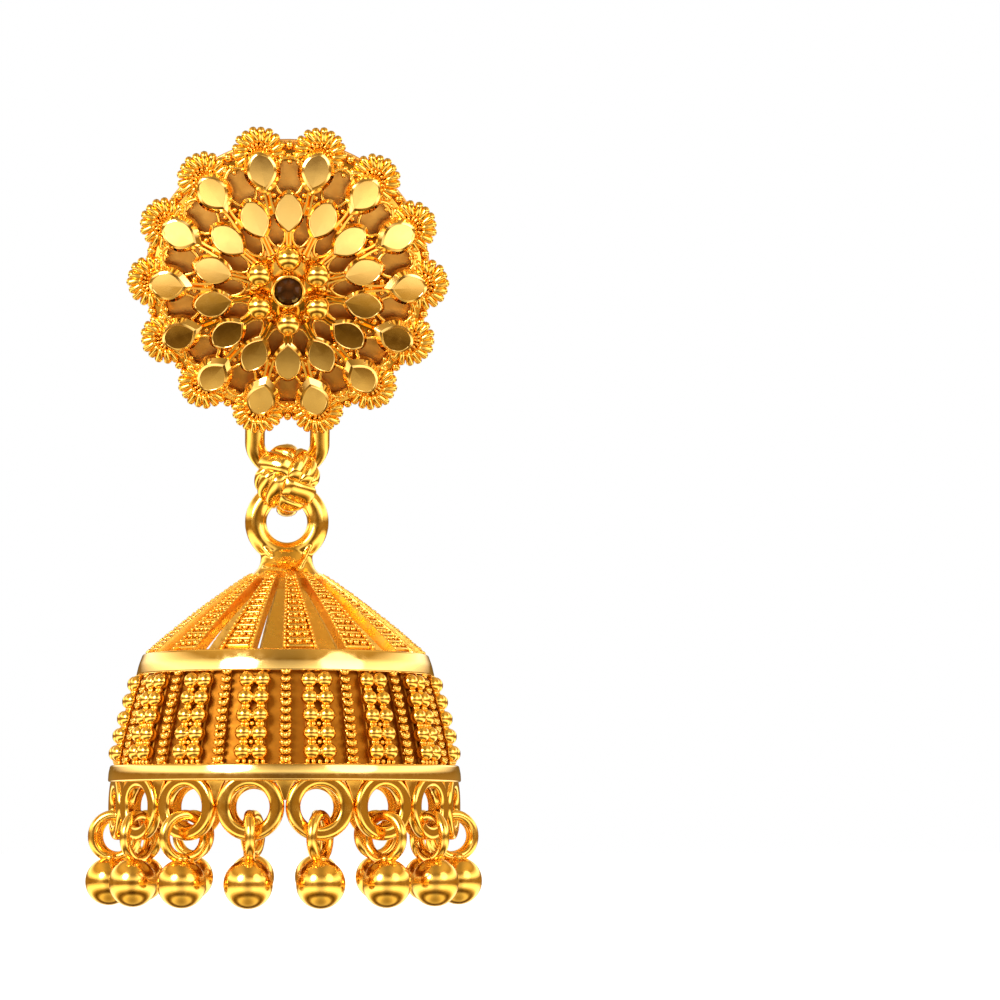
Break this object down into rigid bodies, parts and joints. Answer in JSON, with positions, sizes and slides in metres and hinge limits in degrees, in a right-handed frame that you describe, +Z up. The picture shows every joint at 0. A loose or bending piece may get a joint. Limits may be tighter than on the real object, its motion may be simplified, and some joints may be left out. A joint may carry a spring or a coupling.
{
  "type": "jhumka earring",
  "caption": "Drop earring with an openwork flower stud, a knot-shaped link and a ribbed, beaded bell fringed with small ball drops, in polished gold-coloured metal.",
  "frame": {"origin": "on the ear post's axis, at the rear face of the post's pad, where the front of the ear lobe rests", "axes": "+Z up as the earring hangs, -Y towards the viewer who sees the flower, +X to that viewer's right; the flower nods forward by 23.5 degrees, so the post points back and up"},
  "size_m": [0.027, 0.027, 0.0521],
  "materials": {
    "polished_gold": "bright gold plate on brass, polished on the high faces",
    "satin_gold": "gold plate on brass, satin polished",
    "plate_gold": "smooth dull orange-gold sheet, sheltered behind the openwork",
    "dark_stone": "small faceted dark brown stone, polished"
  },
  "bodies": {
    "head": {"flower_front": "polished_gold", "back_plate": "plate_gold", "centre_stone": "dark_stone", "ear_post": "satin_gold"},
    "knot": {"knot_link": "satin_gold"},
    "bell": {"bell": "polished_gold", "drop_01": "satin_gold", "drop_02": "satin_gold", "drop_03": "satin_gold", "drop_04": "satin_gold", "drop_05": "satin_gold", "drop_06": "satin_gold", "drop_07": "satin_gold", "drop_08": "satin_gold", "drop_09": "satin_gold", "drop_10": "satin_gold", "drop_11": "satin_gold", "drop_12": "satin_gold", "drop_13": "satin_gold", "drop_14": "satin_gold", "drop_15": "satin_gold", "drop_16": "satin_gold"}
  },
  "joints": [
    {"name": "link_swing", "type": "hinge", "parent": "head", "child": "knot", "pos_m": [0, 0.00572, -0.01252], "axis": [1, 0, 0], "range_deg": [-12, 30]},
    {"name": "bell_swing", "type": "hinge", "parent": "knot", "child": "bell", "pos_m": [0, 0.00572, -0.01627], "axis": [0, 1, 0], "range_deg": [-35, 35]}
  ]
}
